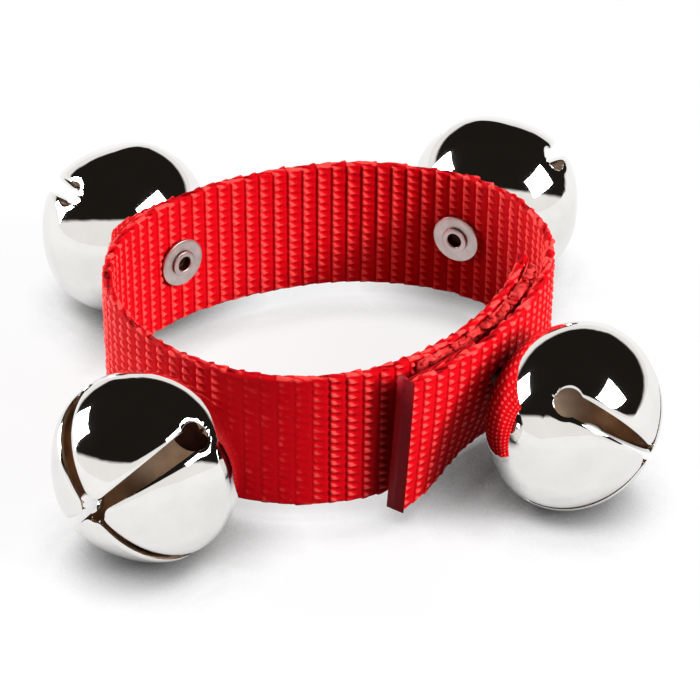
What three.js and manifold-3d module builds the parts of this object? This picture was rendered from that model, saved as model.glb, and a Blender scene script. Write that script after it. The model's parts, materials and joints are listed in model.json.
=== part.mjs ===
// Wrist bells: a webbing strap that closes in a loop with hook and loop patches, and four jingle bells riveted to it.
// Millimetres and degrees, +Z up. The loop stands on its bells, with the middle of its outline over the origin.
import * as THREE from "three";
import { mergeVertices } from "three/addons/utils/BufferGeometryUtils.js";
import Module from "manifold-3d";

const { clamp, degToRad, radToDeg, smoothstep } = THREE.MathUtils;

// Strap. Azimuths are counted anticlockwise from +X, and the strap runs clockwise from its under end to its tip.
const STRAP_WIDTH = 20;
const STRAP_THICKNESS = 1.5;
const LOOP_RADIUS = 27; // mean, at the middle of the webbing
const LOOP_OVAL = 1.85; // by which the loop is longer one way
const LOOP_EGG = 0.85; // by which one end of that oval is blunter
const LOOP_AZIMUTH = 39.5; // of the oval's length
const UNDER_END_AZIMUTH = 3;
const TIP_AZIMUTH = -71;
const LIFT_START_AZIMUTH = 75; // the strap rises from here
const LIFT_END_AZIMUTH = 5; // to lie over its under end from here
const FLAP_LENGTH = 44.5; // from the tip back to the bend where the flap peels open
const TIP_CURL_LENGTH = 14; // over which the tip turns away from the wrist
const TIP_LIFT = 1.3; // by which it stands off there
const TIP_SLANT = 1.2; // by which its lower corner is longer than its upper one
const LEAN = 4.4; // by which the lower edge lies further in than the upper one, beside the flap
const LEAN_AZIMUTH = -37; // of the most lean
const LEAN_SPREAD = 40; // to either side of that
const BEND_GAP = 0.3; // between the band and the flap

// Hook and loop patches
const HOOK_THICKNESS = 1.1;
const LOOP_THICKNESS = 0.4;
const PATCH_INSET = 0.5; // from the strap's edges and its under end
const LOOP_SETBACK = 4; // by which the loop patch stays out of sight behind the flap's tip
const BOND_GAP = 0.1;
const GRIP_GAP = 0.5; // between the closed patches

// Bells, counted from the flap's tip
const BELL_DIAMETER = 25;
const BELL_LENGTH = 22;
const BELL_WALL = 0.6;
const BELL_SEAT_DIAMETER = 7; // the flat that meets the strap
const BELL_TO_TIP = 18;
const BELL_SPACINGS = [45.6, 42.8, 46.7];
const BELL_TURNS = [7, 0, 0, 0]; // by which each is turned on its loose rivet, from square to the strap
const BELL_TILTS = [12.4, 0, 0, 0]; // by which each points down
const PETAL_FLAT = 0.6; // by which the middle of a petal is pressed in
const SLOT_COUNT = 4;
const SLOT_TURN = 45; // of the first slot, above the level
const SLOT_WIDTH = 3.2;
const SLOT_POLE_WIDTH = 1.6;
const SLOT_HOLE_DIAMETER = 3.8;
const SLOT_HOLE_ANGLE = 86; // from the bell's pole
const PETAL_TIP_ROUND = 1.9;
const PELLET_DIAMETER = 6;
const PELLET_GAP = 0.3;

// Rivets and washers
const RIVET_DIAMETER = 2.6;
const RIVET_BORE = 2;
const RIVET_HEAD_DIAMETER = 6;
const RIVET_HEAD_HEIGHT = 1;
const RIVET_COLLAR_DIAMETER = 3.8;
const RIVET_COLLAR_HEIGHT = 0.3;
const RIVET_CLEARANCE = 0.25; // on the radius
const SEAT_GAP = 0.3; // along the rivet
const WASHER_DIAMETER = 7;
const WASHER_THICKNESS = 0.4;

// Facets
const STRAP_STEP = 2.5;
const STRAP_ROWS = 8; // across the width
const BELL_SEGMENTS = 32;
const BELL_BASE_RINGS = 4;
const BELL_CROWN_RINGS = 5;
const ROUND_SEGMENTS = 20;
const CUT_OVERSHOOT = 2;

// Sizes that follow from those
const LAYER_SPACING = STRAP_THICKNESS + HOOK_THICKNESS + LOOP_THICKNESS + GRIP_GAP + 2 * BOND_GAP;
const STRAP_SWEEP = 360 + UNDER_END_AZIMUTH - TIP_AZIMUTH;
const BELL_RADIUS = BELL_DIAMETER / 2;
const BELL_HALF_LENGTH = BELL_LENGTH / 2;
const PATCH_WIDTH = STRAP_WIDTH - 2 * PATCH_INSET;
const PASSAGE_RADIUS = RIVET_DIAMETER / 2 + RIVET_CLEARANCE; // of every hole that a rivet goes through
const UP = new THREE.Vector3(0, 0, 1);

const wasm = await Module();
wasm.setup();

function solidOf(geometry) {
  const bare = geometry.clone();
  bare.deleteAttribute("normal");
  bare.deleteAttribute("uv");
  const merged = mergeVertices(bare);
  const mesh = new wasm.Mesh({
    numProp: 3,
    vertProperties: merged.attributes.position.array,
    triVerts: new Uint32Array(merged.index.array),
  });
  return new wasm.Manifold(mesh);
}

function cut(geometry, cutters) {
  const left = cutters.reduce((solid, cutter) => solid.subtract(solidOf(cutter)), solidOf(geometry));
  const mesh = left.getMesh();
  const result = new THREE.BufferGeometry();
  result.setAttribute("position", new THREE.BufferAttribute(mesh.vertProperties, 3));
  result.setIndex(new THREE.BufferAttribute(mesh.triVerts, 1));
  result.computeVertexNormals();
  return result;
}

// A solid of revolution about Z, from [radius, height] points that run upwards on its outside
function turned(points, segments) {
  const profile = points.map(([radius, height]) => new THREE.Vector2(radius, height));
  return new THREE.LatheGeometry(profile, segments).rotateX(Math.PI / 2);
}

function namedMesh(name, geometry, color, roughness, metalness) {
  const mesh = new THREE.Mesh(geometry, new THREE.MeshStandardMaterial({ color, roughness, metalness }));
  mesh.name = name;
  return mesh;
}

const webbing = (name, geometry) => namedMesh(name, geometry, 0xd20a16, 0.75, 0);
const patch = (name, geometry) => namedMesh(name, geometry, 0xa80d18, 0.95, 0);
const chrome = (name, geometry) => namedMesh(name, geometry, 0xdcdde0, 0.08, 1);
const steel = (name, geometry) => namedMesh(name, geometry, 0x8d8b88, 0.3, 1);
const aluminium = (name, geometry) => namedMesh(name, geometry, 0xc8b9b4, 0.4, 1);

// The middle of the webbing in plan: an egg-shaped loop that ends by spiralling out over its own start
class Centreline extends THREE.Curve {
  getPoint(share, target = new THREE.Vector3()) {
    const swept = share * STRAP_SWEEP;
    const azimuth = degToRad(UNDER_END_AZIMUTH - swept);
    const turn = azimuth - degToRad(LOOP_AZIMUTH);
    const liftStart = 360 + UNDER_END_AZIMUTH - LIFT_START_AZIMUTH;
    const liftEnd = 360 + UNDER_END_AZIMUTH - LIFT_END_AZIMUTH;
    const lift = LAYER_SPACING * smoothstep(swept, liftStart, liftEnd);
    const radius = LOOP_RADIUS + LOOP_OVAL * Math.cos(2 * turn) + LOOP_EGG * Math.cos(3 * turn) + lift;
    return target.set(radius * Math.cos(azimuth), radius * Math.sin(azimuth), 0);
  }
}

const centreline = new Centreline();
centreline.arcLengthDivisions = 2000;
const STRAP_LENGTH = centreline.getLength();

// Where the strap is at a distance from its under end, which way it runs and which way is out of the loop
function strapFrame(distance) {
  const share = distance / STRAP_LENGTH;
  const along = centreline.getTangentAt(share);
  return { middle: centreline.getPointAt(share), along, outward: new THREE.Vector3(-along.y, along.x, 0) };
}

// How far in the lower edge leans at a place of the centreline
function leanAt(middle) {
  const azimuth = radToDeg(Math.atan2(middle.y, middle.x));
  const share = clamp((azimuth - LEAN_AZIMUTH) / LEAN_SPREAD, -1, 1);
  return LEAN * (0.5 + 0.5 * Math.cos(Math.PI * share));
}

// A point of the strap, offset outwards from the middle of the webbing and upwards from the middle of its width
function strapPoint(distance, offset, height) {
  const { middle, along, outward } = strapFrame(distance);
  const curl = clamp((distance - STRAP_LENGTH) / TIP_CURL_LENGTH + 1, 0, 1) ** 2;
  const lower = 0.5 - height / STRAP_WIDTH;
  const stand = offset + curl * TIP_LIFT - leanAt(middle) * lower ** 2;
  return middle
    .addScaledVector(outward, stand)
    .addScaledVector(along, curl * TIP_SLANT * (lower - 0.5))
    .addScaledVector(UP, BELL_RADIUS + height);
}

// A flat strip that follows the strap between two distances and two offsets
function strip(from, to, inner, outer, width) {
  const steps = Math.ceil((to - from) / STRAP_STEP);
  const heights = Array.from({ length: STRAP_ROWS + 1 }, (_, row) => width * (row / STRAP_ROWS - 0.5));
  const rim = [...heights.map((height) => [outer, height]), ...heights.toReversed().map((height) => [inner, height])];
  const around = rim.length;
  const last = around * steps;
  const positions = [];
  const indices = [];
  const quad = (a, b, c, d) => indices.push(a, b, c, a, c, d);
  for (let step = 0; step <= steps; step += 1) {
    const distance = from + ((to - from) * step) / steps;
    rim.forEach(([offset, height]) => positions.push(...strapPoint(distance, offset, height)));
  }
  for (let start = 0; start < last; start += around) {
    for (let corner = 0; corner < around; corner += 1) {
      const a = start + corner;
      const b = start + ((corner + 1) % around);
      quad(a, b, b + around, a + around);
    }
  }
  for (let row = 0; row < STRAP_ROWS; row += 1) {
    const facing = around - 1 - row; // the inner point at the height of this outer one
    quad(facing - 1, row + 1, row, facing);
    quad(last + facing, last + row, last + row + 1, last + facing - 1);
  }
  const geometry = new THREE.BufferGeometry();
  geometry.setAttribute("position", new THREE.Float32BufferAttribute(positions, 3));
  geometry.setIndex(indices);
  geometry.computeVertexNormals();
  return geometry;
}

// The bell's own frame has its pole at +Z, its widest ring at 0 and the upright at +Y
const BELL_SEAT_HEIGHT = -BELL_HALF_LENGTH * Math.sqrt(1 - (BELL_SEAT_DIAMETER / BELL_DIAMETER) ** 2);

function bellProfile() {
  const rim = SLOT_POLE_WIDTH / 2; // a hole at the pole, which lies inside the slots' crossing
  const arc = (radius, half, floor) => {
    const first = Math.asin(floor / half);
    const last = Math.acos(rim / radius);
    const base = Array.from({ length: BELL_BASE_RINGS }, (_, ring) => first * (1 - ring / BELL_BASE_RINGS));
    const crown = Array.from({ length: BELL_CROWN_RINGS + 1 }, (_, ring) => (last * ring) / BELL_CROWN_RINGS);
    return [...base, ...crown].map((angle) => [radius * Math.cos(angle), half * Math.sin(angle)]);
  };
  const floor = BELL_SEAT_HEIGHT + BELL_WALL;
  const outside = arc(BELL_RADIUS, BELL_HALF_LENGTH, BELL_SEAT_HEIGHT);
  const inside = arc(BELL_RADIUS - BELL_WALL, BELL_HALF_LENGTH - BELL_WALL, floor).reverse();
  const start = [PASSAGE_RADIUS, BELL_SEAT_HEIGHT];
  return [start, ...outside, ...inside, [PASSAGE_RADIUS, floor], start];
}

// Presses the middle of each petal in, so that the slots lie on rounded ridges
function pressPetals(geometry) {
  const places = geometry.attributes.position;
  const place = new THREE.Vector3();
  for (let index = 0; index < places.count; index += 1) {
    place.fromBufferAttribute(places, index);
    const azimuth = Math.atan2(place.y, place.x) - degToRad(SLOT_TURN);
    const depth = Math.sin(Math.PI * clamp(place.z / BELL_HALF_LENGTH, 0, 1));
    const pressed = PETAL_FLAT * depth * (0.5 - 0.5 * Math.cos(SLOT_COUNT * azimuth));
    const radius = Math.hypot(place.x, place.y);
    const scale = (radius - pressed * (radius / BELL_RADIUS)) / radius;
    places.setXYZ(index, place.x * scale, place.y * scale, place.z);
  }
  return geometry;
}

// The slots seen along the bell's axis: arms that widen outwards, with the petals' tips rounded between them
function slotStar() {
  const star = new THREE.Shape();
  const start = SLOT_POLE_WIDTH / 2 + PETAL_TIP_ROUND;
  const reach = BELL_RADIUS + CUT_OVERSHOOT;
  const crossing = SLOT_POLE_WIDTH / 2 / Math.tan(Math.PI / SLOT_COUNT);
  const at = (arm, along, across) => {
    const azimuth = degToRad(SLOT_TURN + (360 / SLOT_COUNT) * arm);
    return new THREE.Vector2(along, across).rotateAround(new THREE.Vector2(), azimuth).toArray();
  };
  star.moveTo(...at(0, start, -SLOT_POLE_WIDTH / 2));
  for (let arm = 0; arm < SLOT_COUNT; arm += 1) {
    star.lineTo(...at(arm, reach, -SLOT_WIDTH / 2));
    star.lineTo(...at(arm, reach, SLOT_WIDTH / 2));
    star.lineTo(...at(arm, start, SLOT_POLE_WIDTH / 2));
    star.quadraticCurveTo(...at(arm, crossing, SLOT_POLE_WIDTH / 2), ...at(arm + 1, start, -SLOT_POLE_WIDTH / 2));
  }
  return star;
}

function bellShell() {
  const angle = degToRad(SLOT_HOLE_ANGLE);
  const slotDepth = BELL_HALF_LENGTH * (1 - Math.cos(angle)) + CUT_OVERSHOOT;
  const slots = new THREE.ExtrudeGeometry(slotStar(), { depth: slotDepth, bevelEnabled: false, curveSegments: 4 });
  slots.translate(0, 0, BELL_HALF_LENGTH * Math.cos(angle));
  const holes = Array.from({ length: SLOT_COUNT }, (_, arm) => {
    const radius = SLOT_HOLE_DIAMETER / 2;
    const hole = new THREE.CylinderGeometry(radius, radius, BELL_RADIUS, ROUND_SEGMENTS);
    hole.rotateZ(-Math.PI / 2).translate(BELL_RADIUS, 0, 0).rotateY(angle - Math.PI / 2);
    return hole.rotateZ(degToRad(SLOT_TURN + (360 / SLOT_COUNT) * arm));
  });
  return cut(pressPetals(turned(bellProfile(), BELL_SEGMENTS)), [slots, ...holes]);
}

function washer(top) {
  const bottom = top - WASHER_THICKNESS;
  const start = [PASSAGE_RADIUS, bottom];
  const edge = WASHER_DIAMETER / 2;
  return turned([start, [edge, bottom], [edge, top], [PASSAGE_RADIUS, top], start], ROUND_SEGMENTS);
}

function rivet(washerTop, headSeat) {
  const collarTop = washerTop - WASHER_THICKNESS - BOND_GAP;
  const end = collarTop - RIVET_COLLAR_HEIGHT;
  const headTop = headSeat + RIVET_HEAD_HEIGHT;
  const profile = [
    [0, headSeat],
    [RIVET_BORE / 2, headSeat],
    [RIVET_BORE / 2, end],
    [RIVET_COLLAR_DIAMETER / 2, end],
    [RIVET_COLLAR_DIAMETER / 2, collarTop],
    [RIVET_DIAMETER / 2, collarTop],
    [RIVET_DIAMETER / 2, headSeat],
    [RIVET_HEAD_DIAMETER / 2, headSeat],
    [RIVET_HEAD_DIAMETER / 2, headSeat + RIVET_HEAD_HEIGHT / 2],
    [RIVET_DIAMETER / 2, headTop],
    [0, headTop],
  ];
  return turned(profile, ROUND_SEGMENTS);
}

// A bell's frame where its rivet goes through the strap, and how far the webbing swells and dips there under the washer.
// The rivet of a bell that points down is so high that the bell still stands on the ground.
function bellSeat(distance, turn, tilt) {
  const height = Math.sin(degToRad(tilt)) * (STRAP_THICKNESS / 2 + SEAT_GAP - BELL_SEAT_HEIGHT);
  const outward = strapFrame(distance).outward.applyAxisAngle(UP, degToRad(turn));
  const level = new THREE.Vector3().crossVectors(UP, outward);
  const axis = outward.applyAxisAngle(level, degToRad(tilt));
  const rise = new THREE.Vector3().crossVectors(axis, level);
  const span = WASHER_DIAMETER / 2;
  const place = strapPoint(distance, 0, height);
  const rises = Array.from({ length: ROUND_SEGMENTS }, (_, step) => {
    const angle = (2 * Math.PI * step) / ROUND_SEGMENTS;
    const rim = strapPoint(distance + span * Math.cos(angle), 0, height + span * Math.sin(angle));
    return rim.sub(place).dot(axis);
  });
  const matrix = new THREE.Matrix4().makeBasis(level, rise, axis).setPosition(place);
  return { matrix, swell: Math.max(0, ...rises), dip: Math.max(0, -Math.min(...rises)) };
}

// One bell with its pellet, rivet and washer, in a group whose +Z is the rivet's axis, out of the loop
function bellStation(number, distance, turn, tilt) {
  const { matrix, swell, dip } = bellSeat(distance, turn, tilt);
  const station = new THREE.Group();
  station.applyMatrix4(matrix);
  const washerTop = -STRAP_THICKNESS / 2 - dip - BOND_GAP;
  const seat = STRAP_THICKNESS / 2 + swell + SEAT_GAP;
  const headSeat = seat + BELL_WALL + SEAT_GAP;
  const shell = chrome(`bell_shell_${number}`, bellShell());
  shell.position.z = seat - BELL_SEAT_HEIGHT;
  const pellet = steel(`pellet_${number}`, new THREE.SphereGeometry(PELLET_DIAMETER / 2, 14, 10));
  const drop = BELL_RADIUS - BELL_WALL - PELLET_GAP - PELLET_DIAMETER / 2;
  pellet.position.set(0, -drop, shell.position.z);
  station.add(shell, pellet);
  station.add(aluminium(`rivet_${number}`, rivet(washerTop, headSeat)));
  station.add(aluminium(`washer_${number}`, washer(washerTop)));
  station.updateMatrix();
  return station;
}

function bellDistances() {
  const distances = [STRAP_LENGTH - BELL_TO_TIP];
  BELL_SPACINGS.forEach((spacing) => distances.push(distances.at(-1) - spacing));
  return distances;
}

function rivetHole(station) {
  const length = STRAP_THICKNESS + 2 * CUT_OVERSHOOT;
  const hole = new THREE.CylinderGeometry(PASSAGE_RADIUS, PASSAGE_RADIUS, length, ROUND_SEGMENTS);
  return hole.rotateX(Math.PI / 2).applyMatrix4(station.matrix);
}

function strap(stations) {
  const holes = stations.map(rivetHole);
  const bend = STRAP_LENGTH - FLAP_LENGTH;
  const face = STRAP_THICKNESS / 2;
  return [
    webbing("strap_band", cut(strip(0, bend - BEND_GAP, -face, face, STRAP_WIDTH), holes)),
    webbing("strap_flap", cut(strip(bend, STRAP_LENGTH, -face, face, STRAP_WIDTH), holes)),
  ];
}

// The hook patch lies between the washer of the flap's bell and the tip, and the loop patch covers all that it can reach
function patches() {
  const face = STRAP_THICKNESS / 2 + BOND_GAP;
  const hookLength = BELL_TO_TIP - WASHER_DIAMETER / 2 - PATCH_INSET;
  const underTip = (UNDER_END_AZIMUTH - TIP_AZIMUTH) / STRAP_SWEEP;
  const lengths = centreline.getLengths();
  const loopEnd = lengths[Math.round(underTip * centreline.arcLengthDivisions)] - LOOP_SETBACK;
  const hook = strip(STRAP_LENGTH - hookLength, STRAP_LENGTH, -face - HOOK_THICKNESS, -face, PATCH_WIDTH);
  const loop = strip(PATCH_INSET, loopEnd, face, face + LOOP_THICKNESS, PATCH_WIDTH);
  return [patch("hook_patch", hook), patch("loop_patch", loop)];
}

function wristBells() {
  const assembly = new THREE.Group();
  const stations = bellDistances().map((distance, index) =>
    bellStation(index + 1, distance, BELL_TURNS[index], BELL_TILTS[index]),
  );
  assembly.add(...strap(stations), ...patches(), ...stations);
  const outline = new THREE.Box3().setFromObject(assembly, true);
  const centre = outline.getCenter(new THREE.Vector3());
  assembly.position.set(-centre.x, -centre.y, -outline.min.z);
  return new THREE.Group().add(assembly);
}

export default wristBells();
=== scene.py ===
"""Wrist bells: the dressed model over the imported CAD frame.

Constants are in millimetres and degrees unless they say otherwise, Blender's objects in metres.
"""
import json
import math

import bmesh
import bpy
import numpy as np
from mathutils import Matrix, Vector

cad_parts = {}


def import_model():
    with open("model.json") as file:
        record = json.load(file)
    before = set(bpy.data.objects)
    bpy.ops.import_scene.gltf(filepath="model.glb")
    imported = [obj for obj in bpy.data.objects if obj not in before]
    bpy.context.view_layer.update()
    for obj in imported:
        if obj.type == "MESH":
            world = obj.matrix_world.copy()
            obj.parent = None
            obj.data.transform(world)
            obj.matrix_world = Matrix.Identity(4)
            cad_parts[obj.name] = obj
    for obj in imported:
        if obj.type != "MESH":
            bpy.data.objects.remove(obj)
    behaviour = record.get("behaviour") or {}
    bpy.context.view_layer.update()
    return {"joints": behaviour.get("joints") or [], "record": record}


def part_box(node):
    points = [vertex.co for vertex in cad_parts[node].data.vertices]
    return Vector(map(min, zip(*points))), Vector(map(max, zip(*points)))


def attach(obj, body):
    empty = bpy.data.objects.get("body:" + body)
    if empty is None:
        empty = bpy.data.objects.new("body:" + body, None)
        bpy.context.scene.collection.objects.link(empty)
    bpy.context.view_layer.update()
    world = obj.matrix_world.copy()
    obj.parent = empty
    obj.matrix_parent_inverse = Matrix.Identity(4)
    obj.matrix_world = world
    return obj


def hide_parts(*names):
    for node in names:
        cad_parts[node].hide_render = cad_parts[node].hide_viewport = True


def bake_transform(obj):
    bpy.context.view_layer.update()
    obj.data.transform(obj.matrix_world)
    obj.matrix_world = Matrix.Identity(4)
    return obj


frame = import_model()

MM = 0.001

# The strap's course, as in the part's source
STRAP_WIDTH = 20.0
STRAP_THICKNESS = 1.5
LOOP_RADIUS = 27.0
LOOP_OVAL = 1.85
LOOP_EGG = 0.85
LOOP_AZIMUTH = 39.5
UNDER_END_AZIMUTH = 3.0
TIP_AZIMUTH = -71.0
LIFT_START_AZIMUTH = 75.0
LIFT_END_AZIMUTH = 5.0
LAYER_SPACING = 3.7
FLAP_LENGTH = 44.5
TIP_CURL_LENGTH = 14.0
TIP_LIFT = 1.3
TIP_SLANT = 1.2
LEAN = 4.4
LEAN_AZIMUTH = -37.0
LEAN_SPREAD = 40.0
STRAP_SWEEP = 360 + UNDER_END_AZIMUTH - TIP_AZIMUTH
COURSE_STEPS = 20001

# Weave. The tables give a float's height, its half width and the ground under it by the share of the rib's
# pitch, from the float's blunt end to its point.
RIB_PITCH = 2.15
RIB_PHASES = (0.04, 0.12, 0.25, 0.5, 0.75, 0.88, 0.96)  # where a rib has rows of points
ROW_MARGIN = 0.1  # free of rows at both ends of a length
FLOATS_ROUND = 36
FLOAT_SAMPLES = 5
FLOAT_TILT = math.tan(math.radians(20))
FLOAT_CORE = 0.4  # share of the pitch on each side of a rib's middle where floats slant
FLOAT_TOP = 0.08
VALLEY = -0.45
CROWN = (0.02, 0.08, 0.36, 0.74), (0.0, 1.0, 0.95, 0.0)
NARROW = (0.05, 0.22, 0.7), (0.48, 0.43, 0.1)
JOINED = (0.05, 0.35), (1.4, 1.0)  # by which floats inside the loop are wider
GROUND = (0.0, 0.3, 0.5, 0.62, 0.75, 0.92, 1.0), (0.1, 0.14, 0.28, 0.44, 0.5, 0.42, 0.2)
UNEVEN = 0.08
EDGE_LEVEL = 0.6
UPPER_EDGE_CALM, LOWER_EDGE_CALM = 0.3, 0.75
UPPER_EDGE_UNEVEN, LOWER_EDGE_UNEVEN = 0.16, 0.08
FLATTENED_AZIMUTHS = np.array([-87.0, -92.0, -114.0, -120.0])  # where the floats outside are flattened, which keeps the weave's painted highlight off this dimly lit stretch
FLATTENED_SHARE = 0.85
FLATTENED_LEVEL = 0.56
WEAVE_SEED = 7
RIBS_DRAWN = 400
BLOTCH = 0.25  # random shifts of the colour level on the edges, which push spots into the painted highlight and painted shade of the webbing's colour
BLOTCH_LOWEST = -0.8
MELTED_LEVEL = 0.5
SEALED = 0.9  # length of a melted end
TIP_BEVEL = 1.1  # by which the tip's outer edge is set back
HOLE_DEPTH = 8.0  # of a rivet's hole, on each side of its joint
SEAM_SETBACK = 7.0  # least distance of the seam between the two lengths from the bend

# Hook and loop patches
HOOK_THICKNESS = 1.1
HOOK_BASE = 0.4
HOOK_LENGTH = 14.0
HOOK_ROW_PITCH = 1.0
HOOK_PITCH = 1.05
HOOK_MARGIN = 0.7
HOOK_TIP_MARGIN = 0.9
HOOK_STAGGER = 0.25
HOOK_STEM = 0.33
HOOK_RISE = 0.22
HOOK_REACH = 0.2
HOOK_TURN = 1.25 * math.pi
HOOK_WIRE = 0.085
LOOP_BASE = 0.16
LOOP_SETBACK = 4.0
LOOP_ROW_PITCH = 1.05
LOOP_PITCH = 0.95
LOOP_MARGIN = 0.6
LOOP_JITTER = 0.3
LOOP_SPREAD = 0.32
LOOP_RISE = 0.17
LOOP_WIRE = 0.05
LOOP_SEED = 11
RIM_PITCH = 0.5  # of the coarse loops along the upper rim
RIM_MARGIN = 0.7
RIM_DEPTH = 1.3
RIM_TURN = 0.5  # radians
RIM_SPREAD = 0.5
RIM_RISES = 0.7, 1.15
RIM_RISE_UNDER_HOOKS = 0.2
RIM_HOOK_CLEARANCE = 2.0
RIM_WIRE = 0.3
PATCH_INSET = 0.5
PATCH_UPPER_MARGIN = 0.5
BOND_GAP = 0.1
SHEET_COLUMNS = 13
HOOK_SHEET_ROWS, SEAL_SHEET_ROWS, LOOP_SHEET_ROWS = 24, 3, 40
HOOK_STEPS, LOOP_STEPS, RIM_STEPS = 7, 6, 7  # points along a thread
HOOK_SIDES, LOOP_SIDES, RIM_SIDES = 5, 4, 7  # points round it

# Bells
BELL_RADIUS = 12.5
BELL_HALF_LENGTH = 11.0
BELL_WALL = 0.6
BELL_SEAT_RADIUS = 3.5
PETALS = 4
PETAL_HALF = math.pi / PETALS
PETAL_COLUMNS = 37
PETAL_FLAT = 0.6
SLOT_TURN = 45.0
SLOT_WIDTH = 3.2
SLOT_POLE_WIDTH = 1.6
SLOT_REACH = 14.5
SLOT_SHARES = (1.0, 1.0, 0.6, 0.6)  # of the width, since the lower petals are bent closer together
SLOT_END_ANGLE = 0.25  # radians above the widest ring, about where a slot meets its hole
HOLE_RADIUS = 1.9
HOLE_ANGLE = 86.0
TIP_ROUND = 1.9
TIP_TURN = 0.93 * math.pi / 2  # radians, a little short of the quarter turn to a petal's very point
TIP_ROWS, SLOT_ROWS, HOLE_ROWS, BODY_ROWS = 7, 19, 15, 22
PROFILE_TABLE = math.pi / 2, -1.0, 4000  # first and last angle in radians, and steps
LIP_DEPTH = 0.22
LIP_LENGTH = 0.8
EDGE_BEVEL = 0.16
EDGE_ANGLE = 50.0
EDGE_SEGMENTS = 3
RIVET_PASSAGE = 1.55
SEAT_RINGS = [2.9, 2.2, RIVET_PASSAGE + 0.15]
PELLET_DROP = 8.6
PELLET_RADIUS = 3.0
PELLET_SKIN = 0.06
PELLET_RIDGE = 0.05
PELLET_RIDGE_WIDTH = 0.07  # radians
PELLET_ROUGH = 0.006
PELLET_WAVES = np.array([[2.1, 1.3, 0.7], [-0.8, 1.9, 1.5]])
PELLET_ROWS = 33
PELLET_SEGMENTS = 48

# Rivets and washers
WASHER_RADIUS = 3.5
WASHER_THICKNESS = 0.4
WASHER_FACE = ((RIVET_PASSAGE, 0.03), (2.3, 0.05), (3.0, 0.0), (WASHER_RADIUS, 0.06))  # radius and height
WASHER_ROUND = 0.14
WASHER_SEGMENTS = 64
RIVET_RADIUS = 1.3
RIVET_BORE = 1.05
BORE_DEPTH = 1.3
BORE_TOLERANCE = 1.01
COLLAR_RADIUS = 1.85
COLLAR_HEIGHT = 0.3
COLLAR_ROLL = 0.02, -0.02, 0.06  # height at the bore, between and at the outside
HEAD_CLEARANCE = 0.3
HEAD_PROFILE = ((3.0, 0.0), (2.8, 0.6), (1.6, 1.0), (0.0, 1.0))
RIVET_ROUND = 0.2
RIVET_SEGMENTS = 56

RECORD = frame["record"]
MOUNTS = {mount["name"]: mount for mount in RECORD["mounts"]}
JOINTS = {joint["name"]: joint for joint in frame["joints"]}
LOOP_CENTRE = np.array(MOUNTS["wrist_loop"]["pos_m"]) / MM
BELLS = (1, 2, 3, 4)
BODY_UNDER = {1: "flap", 2: "strap", 3: "strap", 4: "strap"}


# Course of the strap

def smooth(value):
    value = np.clip(value, 0, 1)
    return value * value * (3 - 2 * value)


def course(share):
    """Points of the strap's middle line, by the share of its sweep from the under end"""
    swept = share * STRAP_SWEEP
    azimuth = np.radians(UNDER_END_AZIMUTH - swept)
    turn = azimuth - math.radians(LOOP_AZIMUTH)
    rise_start = 360 + UNDER_END_AZIMUTH - LIFT_START_AZIMUTH
    rise = (swept - rise_start) / (LIFT_START_AZIMUTH - LIFT_END_AZIMUTH)
    loop = LOOP_RADIUS + LOOP_OVAL * np.cos(2 * turn) + LOOP_EGG * np.cos(3 * turn)
    radius = loop + LAYER_SPACING * smooth(rise)
    return np.stack([radius * np.cos(azimuth), radius * np.sin(azimuth)], axis=-1)


SHARES = np.linspace(0, 1, COURSE_STEPS)
COURSE = course(SHARES)
TRAVEL = np.concatenate([[0], np.cumsum(np.hypot(*np.diff(COURSE, axis=0).T))])
STRAP_LENGTH = TRAVEL[-1]
HEADING = np.gradient(COURSE, TRAVEL, axis=0)
BEND = STRAP_LENGTH - FLAP_LENGTH


def travel_to(azimuth):
    """Distance along the strap to where it first passes an azimuth"""
    return np.interp((UNDER_END_AZIMUTH - azimuth) / STRAP_SWEEP, SHARES, TRAVEL)


def strap_point(distance, offset, height):
    """Points of the strap in the part's frame, offset out of the loop and up from the middle of the width"""
    x, y = (np.interp(distance, TRAVEL, COURSE[:, axis]) for axis in (0, 1))
    along = np.stack([np.interp(distance, TRAVEL, HEADING[:, axis]) for axis in (0, 1)], axis=-1)
    along = along / np.linalg.norm(along, axis=-1, keepdims=True)
    ahead_x, ahead_y = along[..., 0], along[..., 1]
    lean_share = np.clip((np.degrees(np.arctan2(y, x)) - LEAN_AZIMUTH) / LEAN_SPREAD, -1, 1)
    lean = LEAN * (0.5 + 0.5 * np.cos(np.pi * lean_share))
    curl = np.clip((distance - STRAP_LENGTH) / TIP_CURL_LENGTH + 1, 0, 1) ** 2
    lower = 0.5 - height / STRAP_WIDTH
    stand = offset + curl * TIP_LIFT - lean * lower**2
    slant = curl * TIP_SLANT * (lower - 0.5)
    place = [x - ahead_y * stand + ahead_x * slant, y + ahead_x * stand + ahead_y * slant, height]
    return np.stack(np.broadcast_arrays(*place), axis=-1) + LOOP_CENTRE


def before_tip(distance, offset):
    """Distances along the strap, cut off at the slanting face of the flap's tip"""
    inner = -STRAP_THICKNESS / 2 - BOND_GAP - HOOK_THICKNESS
    return np.minimum(distance, STRAP_LENGTH - TIP_BEVEL * (offset - inner) / (STRAP_THICKNESS / 2 - inner))


# Meshes

def new_object(name, points, faces, materials, indices=None, uv=None):
    mesh = bpy.data.meshes.new(name)
    mesh.from_pydata((np.asarray(points) * MM).tolist(), [], faces)
    for material in materials:
        mesh.materials.append(material)
    if indices is not None:
        mesh.polygons.foreach_set("material_index", np.asarray(indices, dtype=np.int32))
    mesh.polygons.foreach_set("use_smooth", np.ones(len(mesh.polygons), dtype=bool))
    if uv is not None:
        layer = mesh.uv_layers.new(name="Course")
        layer.data.foreach_set("uv", np.asarray(uv, dtype=np.float32).ravel())
    mesh.update()
    thing = bpy.data.objects.new(name, mesh)
    bpy.context.scene.collection.objects.link(thing)
    return thing


def dress(thing, body, node):
    """Lets a piece ride on a body in place of a node of the CAD"""
    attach(thing, body)
    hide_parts(node)


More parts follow.
